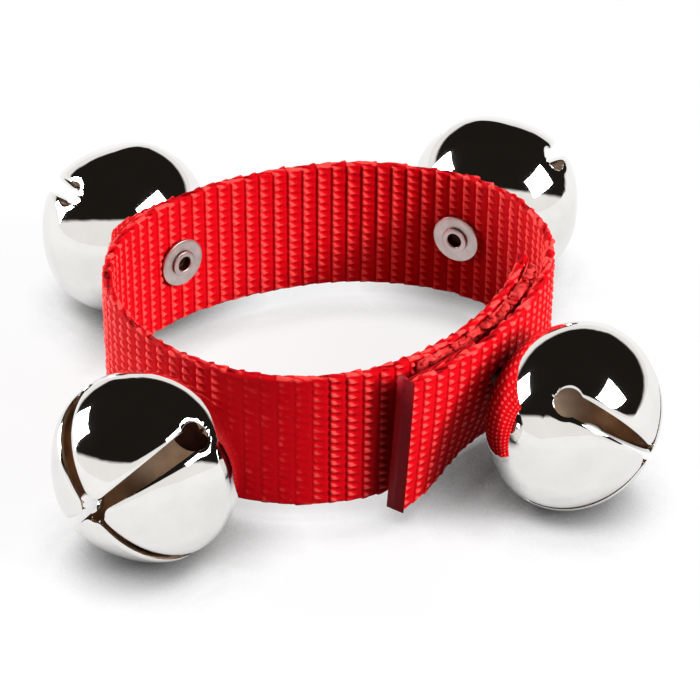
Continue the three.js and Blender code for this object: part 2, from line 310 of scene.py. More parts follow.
def grid_faces(rows, columns, closed):
    """Quads of a grid of points in rows, whose rows close on themselves or not"""
    row = np.arange(rows - 1)[:, None] * columns
    column = np.arange(columns if closed else columns - 1)[None, :]
    following = (column + 1) % columns
    above = row + columns
    quads = [row + column, row + following, above + following, above + column]
    return np.stack(quads, axis=-1).reshape(-1, 4)


def lathe(profile, segments):
    """Points and quads of a profile of [radius, height] turned about Z"""
    profile = np.asarray(profile, dtype=float)
    angle = np.linspace(0, 2 * np.pi, segments, endpoint=False)
    radius = profile[:, :1]
    level = np.repeat(profile[:, 1:], segments, axis=1)
    points = np.stack([radius * np.cos(angle), radius * np.sin(angle), level], axis=-1).reshape(-1, 3)
    return points, grid_faces(len(profile), segments, True).tolist()


def bezier(first, middle, last, step):
    return (1 - step) ** 2 * first + 2 * step * (1 - step) * middle + step**2 * last


def rounded(corners, radius, steps=4):
    """A profile with each of its corners rounded, but not its ends"""
    corners = [np.array(corner, dtype=float) for corner in corners]
    out = [corners[0]]
    for before, corner, after in zip(corners, corners[1:], corners[2:]):
        reach = min(radius, np.linalg.norm(before - corner) / 2, np.linalg.norm(after - corner) / 2)
        first = corner + (before - corner) / np.linalg.norm(before - corner) * reach
        last = corner + (after - corner) / np.linalg.norm(after - corner) * reach
        out += [bezier(first, corner, last, step) for step in np.linspace(0, 1, steps + 1)]
    return out + [corners[-1]]


# Materials

def material(name):
    made = bpy.data.materials.new(name)
    made.use_nodes = True
    return made, made.node_tree.nodes, made.node_tree.links, made.node_tree.nodes["Principled BSDF"]


def fill(links, socket, value):
    """Links a socket to another one, or sets it to a number or colour"""
    if isinstance(value, bpy.types.NodeSocket):
        links.new(value, socket)
    else:
        socket.default_value = value


def noise(nodes, links, vector, scale, detail):
    made = nodes.new("ShaderNodeTexNoise")
    made.inputs["Scale"].default_value = scale
    made.inputs["Detail"].default_value = detail
    links.new(vector, made.inputs["Vector"])
    return made.outputs["Fac"]


def ramp(nodes, links, factor, stops):
    made = nodes.new("ShaderNodeValToRGB")
    elements = made.color_ramp.elements
    while len(elements) < len(stops):
        elements.new(0.5)
    for element, (position, colour) in zip(elements, stops):
        element.position = position
        element.color = (*colour, 1)
    links.new(factor, made.inputs["Fac"])
    return made.outputs["Color"]


def value_range(nodes, links, value, before, after):
    """A value mapped from one range to another, and held at its ends"""
    made = nodes.new("ShaderNodeMapRange")
    for socket, number in zip(("From Min", "From Max", "To Min", "To Max"), (*before, *after)):
        made.inputs[socket].default_value = number
    links.new(value, made.inputs["Value"])
    return made.outputs["Result"]


def calculate(nodes, links, operation, *values):
    made = nodes.new("ShaderNodeMath")
    made.operation = operation
    for socket, value in zip(made.inputs, values):
        fill(links, socket, value)
    return made.outputs["Value"]


def mix_colours(nodes, links, factor, without, full):
    made = nodes.new("ShaderNodeMix")
    made.data_type = "RGBA"
    links.new(factor, made.inputs["Factor"])
    first, second = (socket for socket in made.inputs if socket.type == "RGBA")
    fill(links, first, without)
    fill(links, second, full)
    return next(socket for socket in made.outputs if socket.type == "RGBA")


def bump(nodes, links, height, strength, distance):
    """A normal from a height, with its distance in metres"""
    made = nodes.new("ShaderNodeBump")
    made.inputs["Strength"].default_value = strength
    made.inputs["Distance"].default_value = distance
    links.new(height, made.inputs["Height"])
    return made.outputs["Normal"]


def webbing_material(name, high, middle, low):
    """Nylon whose colour and gloss follow the height of the weave, with fibres along the floats. Its colour
    holds painted light: a dark red as painted shade in the valleys and a coral as a painted highlight on the
    float crests.
    """
    made, nodes, links, shader = material(name)
    course_map = nodes.new("ShaderNodeUVMap")
    course_map.uv_map = "Course"
    place = nodes.new("ShaderNodeTexCoord").outputs["Object"]
    weave = nodes.new("ShaderNodeAttribute")
    weave.attribute_name = "weave_height"
    patchy = noise(nodes, links, place, scale=900, detail=3)
    level = calculate(nodes, links, "MULTIPLY_ADD", patchy, 0.3, weave.outputs["Fac"])
    # painted shade: the low colour darkens the valleys; painted highlight: the high coral lightens the float
    # crests
    colour = ramp(nodes, links, level, [(0.26, low), (0.52, middle), (0.74, middle), (0.94, high)])
    links.new(colour, shader.inputs["Base Color"])
    roughness = value_range(nodes, links, level, before=(0.7, 1.1), after=(0.7, 0.26))
    links.new(roughness, shader.inputs["Roughness"])
    shader.inputs["Specular IOR Level"].default_value = 0.2
    shader.inputs["Specular Tint"].default_value = (1.0, 0.3, 0.27, 1)
    fibres = nodes.new("ShaderNodeTexWave")
    fibres.bands_direction = "Y"
    fibres.inputs["Scale"].default_value = 1.6
    fibres.inputs["Distortion"].default_value = 2.5
    fibres.inputs["Detail"].default_value = 2
    links.new(course_map.outputs["UV"], fibres.inputs["Vector"])
    normal = bump(nodes, links, fibres.outputs["Fac"], strength=0.35, distance=0.00006)
    links.new(normal, shader.inputs["Normal"])
    return made


def plain_material(name, light, dark, rough, scale, bumps, metallic=0, gloss=0.5):
    """A surface mottled between two colours, with its roughness and grain from the same noise"""
    made, nodes, links, shader = material(name)
    place = nodes.new("ShaderNodeTexCoord").outputs["Object"]
    grain = noise(nodes, links, place, scale, detail=4)
    links.new(ramp(nodes, links, grain, [(0.3, dark), (0.7, light)]), shader.inputs["Base Color"])
    links.new(value_range(nodes, links, grain, (0.0, 1.0), rough), shader.inputs["Roughness"])
    shader.inputs["Metallic"].default_value = metallic
    shader.inputs["Specular IOR Level"].default_value = gloss
    links.new(bump(nodes, links, grain, bumps, distance=0.0001), shader.inputs["Normal"])
    return made


def chrome_material():
    """Bright plate with faint clouds and a slightly wavy face"""
    made, nodes, links, shader = material("bell_chrome_plate")
    place = nodes.new("ShaderNodeTexCoord").outputs["Object"]
    shader.inputs["Metallic"].default_value = 1.0
    clouds = noise(nodes, links, place, scale=260, detail=3)
    colour = ramp(nodes, links, clouds, [(0.3, (0.84, 0.825, 0.8)), (0.7, (0.9, 0.885, 0.86))])
    links.new(colour, shader.inputs["Base Color"])
    links.new(value_range(nodes, links, clouds, (0.0, 1.0), (0.02, 0.07)), shader.inputs["Roughness"])
    waves = noise(nodes, links, place, scale=330, detail=2)
    links.new(bump(nodes, links, waves, strength=0.06, distance=0.0004), shader.inputs["Normal"])
    return made


# high is a painted coral highlight on the float crests, low a painted shade in the valleys, middle the
# nylon's own red
WEBBING = webbing_material(
    "webbing_nylon_painted_sheen_and_shade", high=(1.0, 0.075, 0.068), middle=(0.6, 0.001, 0.006), low=(0.14, 0.0, 0.001)
)
SEALED_END = plain_material(
    "webbing_sealed_end", (0.36, 0.011, 0.021), (0.27, 0.006, 0.014), (0.45, 0.6),
    scale=1500, bumps=0.3, gloss=0.12,
)
HOOK_TAPE = plain_material(
    "hook_tape_nylon", (0.66, 0.002, 0.007), (0.5, 0.001, 0.004), (0.4, 0.6),
    scale=1200, bumps=0.3, gloss=0.12,
)
# the light coral is a painted highlight, scattered at random over the loops against a darker red
LOOP_TAPE = plain_material(
    "loop_tape_nylon_painted_sheen", (1.0, 0.085, 0.08), (0.36, 0.0, 0.004), (0.6, 0.8),
    scale=700, bumps=0.3, gloss=0.06,
)
CHROME = chrome_material()
BRONZE = plain_material(
    "bell_inside_bronze", (0.75, 0.55, 0.4), (0.45, 0.32, 0.22), (0.3, 0.5),
    scale=300, bumps=0.3, metallic=1,
)
STEEL = plain_material(
    "pellet_plain_steel", (0.42, 0.4, 0.38), (0.28, 0.26, 0.25), (0.25, 0.45),
    scale=500, bumps=0.3, metallic=1,
)
# very dark metal: painted shade on the rivet's shank in the gap to the bell and in its bore, and the head
# inside the bell
DARK_STEEL_PAINTED_SHADE = plain_material(
    "rivet_dark_steel_painted_shade", (0.13, 0.05, 0.035), (0.07, 0.025, 0.018), (0.5, 0.7),
    scale=500, bumps=0.3, metallic=1,
)
ALUMINIUM = plain_material(
    "rivet_satin_aluminium", (0.64, 0.55, 0.53), (0.48, 0.4, 0.38), (0.3, 0.45),
    scale=700, bumps=0.25, metallic=1,
)


# Webbing

def section(around, square):
    """Points and normals of the webbing's outline, by the distance round it from the foot of the outer face.

    The edges are rounded, or square where the webbing is melted.
    """
    half = STRAP_THICKNESS / 2
    straight = STRAP_WIDTH - STRAP_THICKNESS
    arc = math.pi * half
    around = np.mod(around, 2 * (straight + arc))
    second = around >= straight + arc
    local = np.where(second, around - straight - arc, around)
    angle = np.clip((local - straight) / half, 0, math.pi)
    up = np.clip(local, 0, straight) - straight / 2
    flip = np.where(second, -1, 1)
    normal = np.stack([np.cos(angle) * flip, np.sin(angle) * flip], axis=-1)
    middle = np.stack([np.zeros_like(up), up * flip], axis=-1)
    corner = np.abs(normal).max(axis=-1, keepdims=True)
    return middle + half * normal * (1 + square[..., None] * (1 / corner - 1)), normal


def weave_rows(start, end):
    ribs = np.arange(math.floor(start / RIB_PITCH), math.ceil(end / RIB_PITCH) + 1)
    rows = (ribs[:, None] + np.array(RIB_PHASES)).ravel() * RIB_PITCH
    rows = rows[(rows > start + ROW_MARGIN) & (rows < end - ROW_MARGIN)]
    return np.concatenate([[start], rows, [end]])


def woven_share(rows, start, end, sealed_start, sealed_end):
    """A column that falls to 0 at the melted ends and is 1 elsewhere"""
    share = np.ones_like(rows)
    if sealed_start:
        share = np.minimum(share, smooth((rows - start) / SEALED))
    if sealed_end:
        share = np.minimum(share, smooth((end - rows) / SEALED))
    return share[:, None]


def weave_height(rows, across, phase, normal, odd):
    """The weave's height, about 0 in the valleys between ribs and 1 on top of the floats"""
    face, edge, upper = normal[..., 0], np.abs(normal[..., 1]), normal[..., 1] > 0
    back = 0.5 - across[:, None] * face
    narrow = np.interp(back, *NARROW)
    narrow = np.where(face < 0, narrow * np.interp(back, *JOINED), narrow)
    swell = np.sqrt(np.clip(1 - (phase[None, :] / narrow) ** 2, 0, 1))
    ground = np.interp(back, *GROUND)
    height = ground + (1 - ground) * np.interp(back, *CROWN) * swell * (1 + UNEVEN * odd)
    # flattened floats take the middle colour, so the painted highlight and painted shade are left off this
    # stretch
    flattened_rows = np.interp(rows, travel_to(FLATTENED_AZIMUTHS), [0.0, FLATTENED_SHARE, FLATTENED_SHARE, 0.0])
    flattened = flattened_rows[:, None] * np.clip(face, 0, 1)
    height = height * (1 - flattened) + FLATTENED_LEVEL * flattened
    calm = np.where(upper, UPPER_EDGE_CALM, LOWER_EDGE_CALM)
    uneven = np.where(upper, UPPER_EDGE_UNEVEN, LOWER_EDGE_UNEVEN)
    return EDGE_LEVEL + (height - EDGE_LEVEL) * (1 - calm * edge) + uneven * odd * edge


def outside_holes(points, holes):
    """Which of the points lie clear of the rivets' holes"""
    clear = np.ones(len(points), dtype=bool)
    for place, axis in holes:
        arm = points - place
        along = arm @ axis
        radius = np.linalg.norm(arm - along[:, None] * axis, axis=1)
        clear &= (radius > RIVET_RADIUS) | (np.abs(along) > HOLE_DEPTH)
    return clear


def webbing(name, start, end, sealed_start, sealed_end, holes):
    """A length of webbing: floats that lie across upright ribs, and run on round both edges.

    Its tip end is melted to a dark seal, and its under end keeps the webbing's colour.
    """
    pitch = (2 * (STRAP_WIDTH - STRAP_THICKNESS) + math.pi * STRAP_THICKNESS) / FLOATS_ROUND
    rows = weave_rows(start, end)
    lines = FLOATS_ROUND * FLOAT_SAMPLES
    rib = np.floor(rows / RIB_PITCH + 1e-6)
    half_rib = np.floor(2 * rows / RIB_PITCH)
    across = rows / RIB_PITCH - rib - 0.5
    slant = FLOAT_CORE * RIB_PITCH * FLOAT_TILT
    slants = [-pitch / 4, -slant, slant, pitch / 4]
    shift = rib * pitch / 2 + np.interp(across, [-0.5, -FLOAT_CORE, FLOAT_CORE, 0.5], slants)
    line = np.arange(lines) / FLOAT_SAMPLES
    phase = np.mod(line + 0.5, 1) - 0.5
    which = np.floor(line + 0.5).astype(int) % FLOATS_ROUND
    chance = np.random.default_rng(WEAVE_SEED)
    odd = chance.normal(0, 1, (RIBS_DRAWN, FLOATS_ROUND))[rib.astype(int)][:, which]
    blotch = chance.normal(0, 1, (2 * RIBS_DRAWN, FLOATS_ROUND))[half_rib.astype(int)][:, which]

    woven = woven_share(rows, start, end, sealed_start, sealed_end)
    outline, normal = section(line[None, :] * pitch + shift[:, None], 1 - woven)
    height = weave_height(rows, across, phase, normal, odd)
    raised = (VALLEY + (FLOAT_TOP - VALLEY) * height) * woven
    outline = outline + normal * raised[..., None]
    points = strap_point(before_tip(rows[:, None], outline[..., 0]), outline[..., 0], outline[..., 1])

    faces = grid_faces(len(rows), lines, True)
    keep = outside_holes(points.reshape(-1, 3)[faces].mean(axis=1), holes)
    row = np.repeat(np.arange(len(rows) - 1), lines)[keep]
    column = np.tile(np.arange(lines), len(rows) - 1)[keep]
    corners = [(row + ahead, column + beside) for ahead, beside in ((1, 0), (1, 1), (0, 1), (0, 0))]
    uv = [np.stack([rows[r], c / FLOAT_SAMPLES], axis=-1) for r, c in corners]
    uv = np.stack(uv, axis=1).reshape(-1, 2)
    melted = woven[row, 0] + woven[row + 1, 0] < 1.0
    slots = (melted & (rows[row] > (start + end) / 2)).astype(int)
    flat = list(points.reshape(-1, 3))
    quads = [tuple(face[::-1]) for face in faces[keep].tolist()]
    for sealed, last, turn, slot in ((sealed_start, 0, 1, 0), (sealed_end, -1, -1, 1)):
        if sealed:
            quads.append(tuple(range(len(flat), len(flat) + lines))[::turn])
            flat.extend(points[last])
            slots = np.append(slots, slot)
            uv = np.concatenate([uv, np.zeros((lines, 2))])
    thing = new_object(name, flat, quads, (WEBBING, SEALED_END), slots, uv)

    # random edge blotches: they move edge spots into the painted highlight and painted shade colours of the
    # webbing
    blotches = BLOTCH * np.maximum(blotch, BLOTCH_LOWEST) * np.abs(normal[..., 1])
    level = np.zeros(len(flat))
    level[: rows.size * lines] = (height * woven + MELTED_LEVEL * (1 - woven) + blotches).ravel()
    weave = thing.data.attributes.new("weave_height", "FLOAT", "POINT")
    weave.data.foreach_set("value", level.astype(np.float32))
    return thing


TURNS = [JOINTS[f"bell_{number}_turn"] for number in BELLS]
RIVETS = [(np.array(turn["pos_m"]) / MM, np.array(turn["axis"])) for turn in TURNS]
SEAM = math.floor((BEND - SEAM_SETBACK) / RIB_PITCH) * RIB_PITCH  # in a valley, where the two lengths meet
band = webbing("strap_webbing", 0.0, SEAM, True, False, RIVETS[1:])
dress(band, "strap", "strap_band")
flap = webbing("flap_webbing", SEAM, STRAP_LENGTH, False, True, RIVETS[:1])
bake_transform(flap)
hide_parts("strap_flap")


# Hook and loop patches

def strip_sheet(start, end, inner, outer, width, steps):
    """Points and faces of a flat strip with square edges along the strap"""
    rows = np.linspace(start, end, steps)
    heights = np.linspace(-width / 2, width / 2, SHEET_COLUMNS)
    rim = [(outer, height) for height in heights] + [(inner, height) for height in heights[::-1]]
    offsets, ups = np.array(rim).T[:, None, :]
    points = strap_point(before_tip(rows[:, None], offsets), offsets, ups).reshape(-1, 3)
    around = len(rim)
    faces = [tuple(face[::-1]) for face in grid_faces(steps, around, True).tolist()]
    last = around * (steps - 1)
    for row in range(len(heights) - 1):
        facing = around - 1 - row
        faces.append((row, row + 1, facing - 1, facing))
        faces.append((last + facing, last + facing - 1, last + row + 1, last + row))
    return list(points), faces


def add_tube(points, faces, path, radius, sides):
    """Adds a closed tube along a path of points"""
    path = np.asarray(path)
    ahead = np.gradient(path, axis=0)
    ahead /= np.linalg.norm(ahead, axis=1, keepdims=True)
    plane = np.cross(ahead[len(path) // 2], path[0] - path[-1])
    plane = plane / max(np.linalg.norm(plane), 1e-9)
    side = np.tile(plane, (len(path), 1)) - (ahead @ plane)[:, None] * ahead
    side /= np.linalg.norm(side, axis=1, keepdims=True)
    up = np.cross(side, ahead)
    first = len(points)
    for step, centre in enumerate(path):
        for corner in range(sides):
            angle = 2 * math.pi * corner / sides
            points.append(centre + radius * (math.cos(angle) * side[step] + math.sin(angle) * up[step]))
    for step in range(len(path) - 1):
        for corner in range(sides):
            a = first + step * sides + corner
            b = first + step * sides + (corner + 1) % sides
            faces.append((a, b, b + sides, a + sides))
    faces.append(tuple(range(first + sides - 1, first - 1, -1)))
    faces.append(tuple(range(first + (len(path) - 1) * sides, first + len(path) * sides)))


def hook_patch():
    """A base tape with rows of hooks that point at the wrist, and a melted end flush with the tip"""
    start = STRAP_LENGTH - HOOK_LENGTH
    end = STRAP_LENGTH - SEALED
    width = STRAP_WIDTH - 2 * PATCH_INSET
    face = -STRAP_THICKNESS / 2 - BOND_GAP
    points, faces = strip_sheet(start, end, face - HOOK_BASE, face, width, HOOK_SHEET_ROWS)
    seal_faces = face - HOOK_THICKNESS, -STRAP_THICKNESS / 2
    seal, ends = strip_sheet(end, STRAP_LENGTH, *seal_faces, STRAP_WIDTH, SEAL_SHEET_ROWS)
    slots = [0] * len(faces) + [1] * len(ends)
    faces += [tuple(index + len(points) for index in quad) for quad in ends]
    points += seal
    arc = np.linspace(0, HOOK_TURN, HOOK_STEPS)
    stand = np.concatenate([[0.0], HOOK_STEM + HOOK_RISE * np.sin(arc)])
    reach = np.concatenate([[0.0], HOOK_REACH * (1 - np.cos(arc))])
    heights = np.arange(-width / 2 + HOOK_MARGIN, width / 2 - PATCH_UPPER_MARGIN, HOOK_PITCH)
    for row, distance in enumerate(np.arange(start + HOOK_MARGIN, end - HOOK_TIP_MARGIN, HOOK_ROW_PITCH)):
        lean, stagger = (1, HOOK_STAGGER) if row % 2 else (-1, 0.0)
        for height in heights + stagger:
            path = [
                strap_point(np.array(distance + ahead * lean), face - HOOK_BASE - depth, np.array(height))
                for ahead, depth in zip(reach, stand)
            ]
            add_tube(points, faces, path, HOOK_WIRE, HOOK_SIDES)
    slots += [0] * (len(faces) - len(slots))
    return new_object("hook_tape", points, faces, (HOOK_TAPE, SEALED_END), slots)


def arch(distance, height, heading, spread, base, rise, steps):
    """Points of a loop of thread that stands off the strap"""
    return [
        strap_point(
            np.array(distance - spread * math.cos(turn) * math.cos(heading)),
            base + rise * math.sin(turn),
            np.array(height - spread * math.cos(turn) * math.sin(heading)),
        )
        for turn in np.linspace(0, math.pi, steps)
    ]


def loop_patch():
    """A base tape with a pile of fine loops, and coarse ones along its upper rim in the gap to the flap"""
    end = travel_to(TIP_AZIMUTH) - LOOP_SETBACK
    width = STRAP_WIDTH - 2 * PATCH_INSET
    face = STRAP_THICKNESS / 2 + BOND_GAP
    base = face + LOOP_BASE
    points, faces = strip_sheet(PATCH_INSET, end, face, base, width, LOOP_SHEET_ROWS)
    chance = np.random.default_rng(LOOP_SEED)
    for row in np.arange(PATCH_INSET + LOOP_MARGIN, end - LOOP_MARGIN, LOOP_ROW_PITCH):
        for level in np.arange(-width / 2 + LOOP_MARGIN, width / 2 - PATCH_UPPER_MARGIN, LOOP_PITCH):
            distance = row + chance.uniform(-LOOP_JITTER, LOOP_JITTER)
            height = level + chance.uniform(-LOOP_JITTER, LOOP_JITTER)
            heading = chance.uniform(0, math.pi)
            path = arch(distance, height, heading, LOOP_SPREAD, base, LOOP_RISE, LOOP_STEPS)
            add_tube(points, faces, path, LOOP_WIRE, LOOP_SIDES)
    under_hooks = end + LOOP_SETBACK - HOOK_LENGTH - RIM_HOOK_CLEARANCE
    for distance in np.arange(PATCH_INSET + RIM_MARGIN, end - RIM_MARGIN, RIM_PITCH):
        height = width / 2 - chance.uniform(0.0, RIM_DEPTH)
        heading = chance.uniform(-RIM_TURN, RIM_TURN)
        rise = chance.uniform(*RIM_RISES) if distance < under_hooks else RIM_RISE_UNDER_HOOKS
        path = arch(distance, height, heading, RIM_SPREAD, base, rise, RIM_STEPS)
        add_tube(points, faces, path, RIM_WIRE, RIM_SIDES)
    return new_object("loop_tape", points, faces, (LOOP_TAPE,))


dress(hook_patch(), "flap", "hook_patch")
dress(loop_patch(), "strap", "loop_patch")


# Bells

def petal_rows():
    """Rows of a petal from its tip to the seat, as two angles.

    The first is the profile's angle above the widest ring, the second the petal's half width.
    """
    near = SLOT_POLE_WIDTH / 2
    start = near + TIP_ROUND
    angles = []
    halves = []
    tip = np.array([[start, near], [near, near], [near, start]])
    for step in 0.5 * np.sin(np.linspace(TIP_TURN, 0, TIP_ROWS)):
        corner = bezier(*tip, step)
        angles.append(math.acos(np.hypot(*corner) / BELL_RADIUS))
        halves.append(PETAL_HALF - math.atan2(corner[1], corner[0]))

    def slot_half(angle):
        far = BELL_RADIUS * math.cos(angle)
        return near + (SLOT_WIDTH / 2 - near) * (far - start) / (SLOT_REACH - start)

    table = np.linspace(*PROFILE_TABLE)
    turn = math.radians(HOLE_ANGLE)
    out, rise = BELL_RADIUS * np.cos(table), BELL_HALF_LENGTH * np.sin(table)
    past_hole = out * math.cos(turn) - rise * math.sin(turn)
    first = math.asin(slot_half(SLOT_END_ANGLE) / HOLE_RADIUS)
    hole = [
        (np.interp(-HOLE_RADIUS * math.cos(turned), past_hole, table), turned)
        for turned in np.linspace(first, math.pi, HOLE_ROWS)
    ]
    for angle in np.linspace(angles[-1], hole[0][0], SLOT_ROWS)[1:-1]:
        angles.append(angle)
        halves.append(PETAL_HALF - math.asin(slot_half(angle) / (BELL_RADIUS * math.cos(angle))))
    for angle, turned in hole:
        angles.append(angle)
        half_hole = HOLE_RADIUS * math.sin(turned)
        halves.append(PETAL_HALF - math.asin(half_hole / (BELL_RADIUS * math.cos(angle))))
    seat = -math.acos(BELL_SEAT_RADIUS / BELL_RADIUS)
    for angle in np.linspace(angles[-1], seat, BODY_ROWS)[1:]:
        angles.append(angle)
        halves.append(PETAL_HALF)
    return np.array(angles), np.array(halves)


def bell_mesh():
    """Points and faces of a bell's outer face about its centre, with lips bent in along the slots"""
    angles, halves = petal_rows()
    share = np.sin(np.linspace(-np.pi / 2, np.pi / 2, PETAL_COLUMNS))
    radius = np.concatenate([BELL_RADIUS * np.cos(angles), SEAT_RINGS])
    level = BELL_HALF_LENGTH * np.sin(angles)
    level = np.concatenate([level, [level[-1]] * len(SEAT_RINGS)])
    halves = np.concatenate([halves, [PETAL_HALF] * len(SEAT_RINGS)])
    free = halves < PETAL_HALF - 1e-6
    depth = np.sin(np.pi * np.clip(level / BELL_HALF_LENGTH, 0, 1))[:, None]
    levels = np.repeat(level[:, None], PETAL_COLUMNS, axis=1)
    points = []
    faces = []
    edges = []
    for petal in range(PETALS):
        centre = math.radians(SLOT_TURN + 45 + 90 * petal)
        slot_shares = np.where(share < 0, SLOT_SHARES[petal], SLOT_SHARES[(petal + 1) % PETALS])
        gaps = (PETAL_HALF - halves)[:, None] * slot_shares
        azimuth = centre + (PETAL_HALF - gaps) * share[None, :]
        middle = 0.5 - 0.5 * np.cos(PETALS * (azimuth - math.radians(SLOT_TURN)))
        reach = radius[:, None] - PETAL_FLAT * depth * middle * radius[:, None] / BELL_RADIUS
        place = np.stack([reach * np.cos(azimuth), reach * np.sin(azimuth), levels], axis=-1)
        edges += [place[free][:, 0], place[free][:, -1], place[0]]
        quads = grid_faces(len(level), PETAL_COLUMNS, False).tolist()
        faces += [tuple(index + len(points) for index in quad) for quad in quads]
        points += list(place.reshape(-1, 3))
    points = np.array(points)
    gap = np.full(len(points), np.inf)
    for edge in np.concatenate(edges):
        gap = np.minimum(gap, np.linalg.norm(points - edge, axis=1))
    normal = points / np.array([BELL_RADIUS, BELL_RADIUS, BELL_HALF_LENGTH]) ** 2
    normal /= np.linalg.norm(normal, axis=1, keepdims=True)
    return points - normal * (LIP_DEPTH * np.clip(1 - gap / LIP_LENGTH, 0, 1) ** 2)[:, None], faces


def bell_axes(number):
    """A bell's level, rising and outward directions"""
    axis = Vector(JOINTS[f"bell_{number}_turn"]["axis"]).normalized()
    level = Vector((0, 0, 1)).cross(axis).normalized()
    return level, axis.cross(level), axis


def turned_frame(number, centre):
    """The frame of a bell's axis: +Z out of the loop and +Y up, at a point in millimetres"""
    basis = Matrix(bell_axes(number)).transposed().to_4x4()
    basis.translation = Vector(centre) * MM
    return basis


def middle_of(node):
    low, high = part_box(node)
    return (np.array(low) + np.array(high)) / 2 / MM


def bell_centre(number):
    return middle_of(f"pellet_{number}") + np.array(bell_axes(number)[1]) * PELLET_DROP


def bell(number, points, faces):
    """A bell's shell, plated outside and plain inside"""
    thing = new_object(f"bell_{number}", points, faces, (CHROME, BRONZE))
    shape = bmesh.new()
    shape.from_mesh(thing.data)
    bmesh.ops.remove_doubles(shape, verts=shape.verts, dist=1e-6)
    bmesh.ops.recalc_face_normals(shape, faces=shape.faces)
    shape.to_mesh(thing.data)
    shape.free()
    thing.data.transform(turned_frame(number, bell_centre(number)))
    wall = thing.modifiers.new("wall", "SOLIDIFY")
    wall.thickness = BELL_WALL * MM
    wall.offset = -1
    wall.material_offset = 1
    edge = thing.modifiers.new("edge", "BEVEL")
    edge.width = EDGE_BEVEL * MM
    edge.segments = EDGE_SEGMENTS
    edge.limit_method = "ANGLE"
    edge.angle_limit = math.radians(EDGE_ANGLE)
    thing.modifiers.new("normals", "WEIGHTED_NORMAL")
    dress(thing, f"bell_{number}", f"bell_shell_{number}")


def pellet(number):
    """A cast ball with a faint parting ridge and a rough skin"""
    steps = np.linspace(-np.pi / 2, np.pi / 2, PELLET_ROWS)
    radius = PELLET_RADIUS - PELLET_SKIN
    ridge = PELLET_RIDGE * np.exp(-((steps / PELLET_RIDGE_WIDTH) ** 2))
    profile = np.stack([(radius + ridge) * np.cos(steps), radius * np.sin(steps)], axis=1)
    points, faces = lathe(profile, PELLET_SEGMENTS)
    wave = np.sin(points @ PELLET_WAVES.T).prod(axis=1)
    points = points * (1 + PELLET_ROUGH * wave)[:, None]
    thing = new_object(f"pellet_ball_{number}", points, faces, (STEEL,))
    thing.data.transform(turned_frame(number, middle_of(f"pellet_{number}")))
    dress(thing, f"pellet_{number}", f"pellet_{number}")


def washer(number):
    """A flat washer with rolled edges, dished a little towards its hole"""
    half = WASHER_THICKNESS / 2
    corners = [
        (RIVET_PASSAGE, half),
        *((radius, level - half) for radius, level in WASHER_FACE),
        (WASHER_RADIUS, half),
        (RIVET_PASSAGE, half),
    ]
    points, faces = lathe(rounded(corners, WASHER_ROUND), WASHER_SEGMENTS)
    thing = new_object(f"washer_disc_{number}", points, faces, (ALUMINIUM,))
    thing.data.transform(turned_frame(number, middle_of(f"washer_{number}")))
    dress(thing, BODY_UNDER[number], f"washer_{number}")


def rivet(number):
    """A tubular rivet: a flat head inside the bell, and an end rolled over the washer"""
    axis = np.array(JOINTS[f"bell_{number}_turn"]["axis"])
    washer_place = middle_of(f"washer_{number}")
    reach = (bell_centre(number) - washer_place) @ axis
    bell_seat = reach - BELL_HALF_LENGTH * math.sqrt(1 - (BELL_SEAT_RADIUS / BELL_RADIUS) ** 2)
    head_seat = bell_seat + BELL_WALL + HEAD_CLEARANCE
    roll = -WASHER_THICKNESS / 2 - BOND_GAP
    end = roll - COLLAR_HEIGHT
    corners = [
        (0.0, end + BORE_DEPTH),
        (RIVET_BORE, end + BORE_DEPTH),
        (RIVET_BORE, end + COLLAR_ROLL[0]),
        ((RIVET_BORE + COLLAR_RADIUS) / 2, end + COLLAR_ROLL[1]),
        (COLLAR_RADIUS, end + COLLAR_ROLL[2]),
        (COLLAR_RADIUS, roll),
        (RIVET_RADIUS, roll),
        (RIVET_RADIUS, head_seat),
        *((radius, head_seat + level) for radius, level in HEAD_PROFILE),
    ]
    points, faces = lathe(rounded(corners, RIVET_ROUND), RIVET_SEGMENTS)
    middles = points[np.array(faces)].mean(axis=1)
    in_bore = np.hypot(middles[:, 0], middles[:, 1]) < BORE_TOLERANCE * RIVET_BORE
    # painted shade: faces above the strap and inside the bore get the dark metal
    painted_shade_faces = (middles[:, 2] > STRAP_THICKNESS) | in_bore
    thing = new_object(f"rivet_tube_{number}", points, faces, (ALUMINIUM, DARK_STEEL_PAINTED_SHADE), painted_shade_faces.astype(int))
    thing.data.transform(turned_frame(number, washer_place))
    dress(thing, BODY_UNDER[number], f"rivet_{number}")


SHELL = bell_mesh()
for number in BELLS:
    bell(number, *SHELL)
    pellet(number)
    washer(number)
    rivet(number)


# Studio, in metres and watts

FLOOR_REACH = 3.0
FLOOR_WHITE = (0.95, 0.95, 0.95)
FLOOR_BOUNCE = (0.2, 0.2, 0.2)
FLOOR_GLOW_RADII = 0.04, 0.1
FLOOR_GLOW_SHARES = 0.88, 1.0
SHADOW_REACH = 0.012
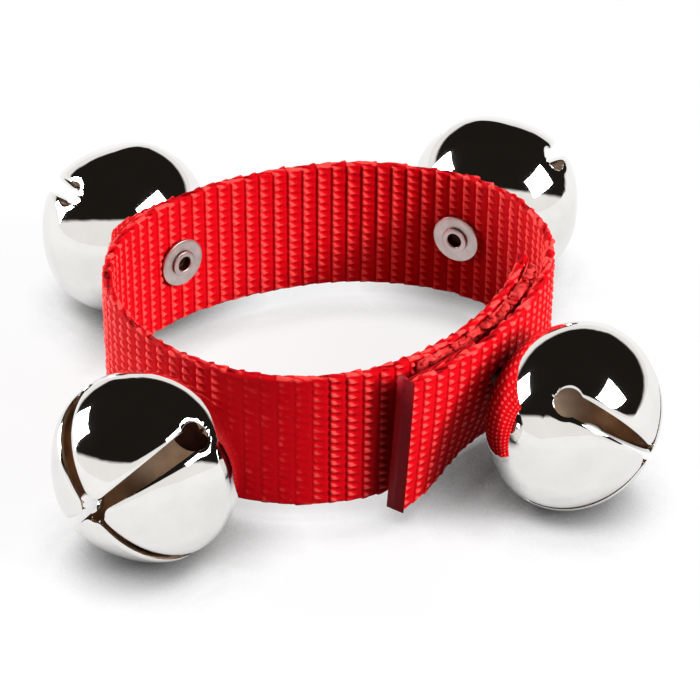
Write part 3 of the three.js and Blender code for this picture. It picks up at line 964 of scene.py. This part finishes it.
# painted shadow: the floor's own light darkens with occlusion near the object
SHADOW_STOPS = [(0.25, (0.03, 0.03, 0.03)), (0.75, (1.0, 1.0, 1.0))]
ROOM_DIFFUSE = (0.035, 0.035, 0.035, 1)
ROOM_STOPS = [(0.0, (0.9, 0.89, 0.87)), (0.07, (0.012, 0.01, 0.008))]  # what mirrors see, upwards
ROOM_FOLDED_SLOPE = (0, -0.4, 1)  # alike in front and behind, where the white reaches higher
ROOM_SLOPE = (0.06, 0.2, 0)
LAMPS = (  # azimuth, elevation, distance, width, height, power, and whether mirrors see it
    ("soft_box_left", -106, 19, 0.6, 0.3, 0.3, 5.0, True),
    ("soft_box_right", 66, 33, 0.6, 0.44, 0.26, 3.5, True),
    ("front_key", 62, 26, 0.7, 0.12, 0.12, 3.6, False),
    ("overhead", 180, 75, 0.9, 0.7, 0.7, 0.2, False),
)
PHOTO_WIDTH = 700  # pixels
PHOTO_FOCAL = 2779.0  # pixels
PHOTO_MIDDLE = 32.5, 36.7  # pixels right of and below the point aimed at
CAMERA_ELEVATION = math.radians(32.65)
CAMERA_DISTANCE = 373.75 * MM
CAMERA_AIM_HEIGHT = 14.07 * MM
SENSOR_WIDTH = 36


def floor():
    """White paper. Its own light keeps it white to the camera and in mirrors, less so under the object. Near
    the object that light is darkened by an occlusion node, a painted contact shadow over the real one.
    """
    made, nodes, links, shader = material("floor_paper")
    shader.inputs["Roughness"].default_value = 0.9
    shader.inputs["Specular IOR Level"].default_value = 0.0
    rays = nodes.new("ShaderNodeLightPath").outputs
    paper = ramp(nodes, links, rays["Is Camera Ray"], [(0.0, FLOOR_BOUNCE), (1.0, FLOOR_WHITE)])
    links.new(paper, shader.inputs["Base Color"])
    open_sky = nodes.new("ShaderNodeAmbientOcclusion")
    open_sky.samples = 8
    open_sky.inputs["Distance"].default_value = SHADOW_REACH
    away = nodes.new("ShaderNodeVectorMath")
    away.operation = "LENGTH"
    links.new(nodes.new("ShaderNodeTexCoord").outputs["Object"], away.inputs[0])
    glow = value_range(nodes, links, away.outputs["Value"], FLOOR_GLOW_RADII, FLOOR_GLOW_SHARES)
    seen = calculate(nodes, links, "MAXIMUM", rays["Is Camera Ray"], rays["Is Glossy Ray"])
    seen = calculate(nodes, links, "MAXIMUM", seen, rays["Is Transmission Ray"])
    shine = nodes.new("ShaderNodeEmission")
    # painted contact shadow: the glow's colour follows the occlusion
    links.new(ramp(nodes, links, open_sky.outputs["AO"], SHADOW_STOPS), shine.inputs["Color"])
    mixed = nodes.new("ShaderNodeMixShader")
    links.new(calculate(nodes, links, "MULTIPLY", seen, glow), mixed.inputs["Fac"])
    links.new(shader.outputs["BSDF"], mixed.inputs[1])
    links.new(shine.outputs["Emission"], mixed.inputs[2])
    links.new(mixed.outputs["Shader"], nodes["Material Output"].inputs["Surface"])
    mesh = bpy.data.meshes.new("floor")
    corners = [(x * FLOOR_REACH, y * FLOOR_REACH, 0) for x, y in ((-1, -1), (1, -1), (1, 1), (-1, 1))]
    mesh.from_pydata(corners, [], [(0, 1, 2, 3)])
    mesh.materials.append(made)
    thing = bpy.data.objects.new("floor", mesh)
    bpy.context.scene.collection.objects.link(thing)


def world():
    """White to the camera. Mirrors see white card and paper in a dark room, and the rest is lit evenly."""
    made = bpy.data.worlds.new("studio")
    bpy.context.scene.world = made
    made.use_nodes = True
    nodes, links = made.node_tree.nodes, made.node_tree.links
    nodes.clear()
    direction = nodes.new("ShaderNodeTexCoord").outputs["Generated"]
    folded = nodes.new("ShaderNodeVectorMath")
    folded.operation = "ABSOLUTE"
    links.new(direction, folded.inputs[0])
    slopes = []
    for vector, weights in ((folded.outputs["Vector"], ROOM_FOLDED_SLOPE), (direction, ROOM_SLOPE)):
        slope = nodes.new("ShaderNodeVectorMath")
        slope.operation = "DOT_PRODUCT"
        slope.inputs[1].default_value = weights
        links.new(vector, slope.inputs[0])
        slopes.append(slope.outputs["Value"])
    room = ramp(nodes, links, calculate(nodes, links, "ADD", *slopes), ROOM_STOPS)
    rays = nodes.new("ShaderNodeLightPath").outputs
    light = mix_colours(nodes, links, rays["Is Glossy Ray"], ROOM_DIFFUSE, room)
    light = mix_colours(nodes, links, rays["Is Camera Ray"], light, (1, 1, 1, 1))
    background = nodes.new("ShaderNodeBackground")
    links.new(light, background.inputs["Color"])
    links.new(background.outputs["Background"], nodes.new("ShaderNodeOutputWorld").inputs["Surface"])


def lamp(name, azimuth, elevation, distance, width, height, power, mirrored):
    """A soft box that faces the object. Azimuth 0 is on the camera's side and 90 on the right."""
    data = bpy.data.lights.new(name, "AREA")
    data.shape = "RECTANGLE"
    data.size = width
    data.size_y = height
    data.energy = power
    thing = bpy.data.objects.new(name, data)
    around, up = math.radians(azimuth), math.radians(elevation)
    back = Vector((math.sin(around) * math.cos(up), -math.cos(around) * math.cos(up), math.sin(up)))
    thing.location = back * distance
    thing.rotation_euler = back.to_track_quat("Z", "Y").to_euler()
    thing.visible_glossy = mirrored
    bpy.context.scene.collection.objects.link(thing)


def camera():
    """The photograph's view: the loop's middle a little left of and above the picture's"""
    aim = Vector((*(LOOP_CENTRE[:2] * MM), CAMERA_AIM_HEIGHT))
    right = Vector((1, 0, 0))
    up = Vector((0, math.sin(CAMERA_ELEVATION), math.cos(CAMERA_ELEVATION)))
    back = Vector((0, -math.cos(CAMERA_ELEVATION), math.sin(CAMERA_ELEVATION)))
    data = bpy.data.cameras.new("camera")
    data.sensor_width = SENSOR_WIDTH
    data.lens = SENSOR_WIDTH * PHOTO_FOCAL / PHOTO_WIDTH
    data.clip_start = 0.01
    thing = bpy.data.objects.new("camera", data)
    place = aim + back * CAMERA_DISTANCE
    middle = aim + (right * PHOTO_MIDDLE[0] - up * PHOTO_MIDDLE[1]) * (CAMERA_DISTANCE / PHOTO_FOCAL)
    forward = (middle - place).normalized()
    across = (right - forward * right.dot(forward)).normalized()
    basis = Matrix((across, across.cross(forward), -forward)).transposed().to_4x4()
    basis.translation = place
    thing.matrix_world = basis
    bpy.context.scene.collection.objects.link(thing)
    bpy.context.scene.camera = thing


floor()
world()
for row in LAMPS:
    lamp(*row)
camera()
bpy.context.scene.view_settings.view_transform = "Standard"
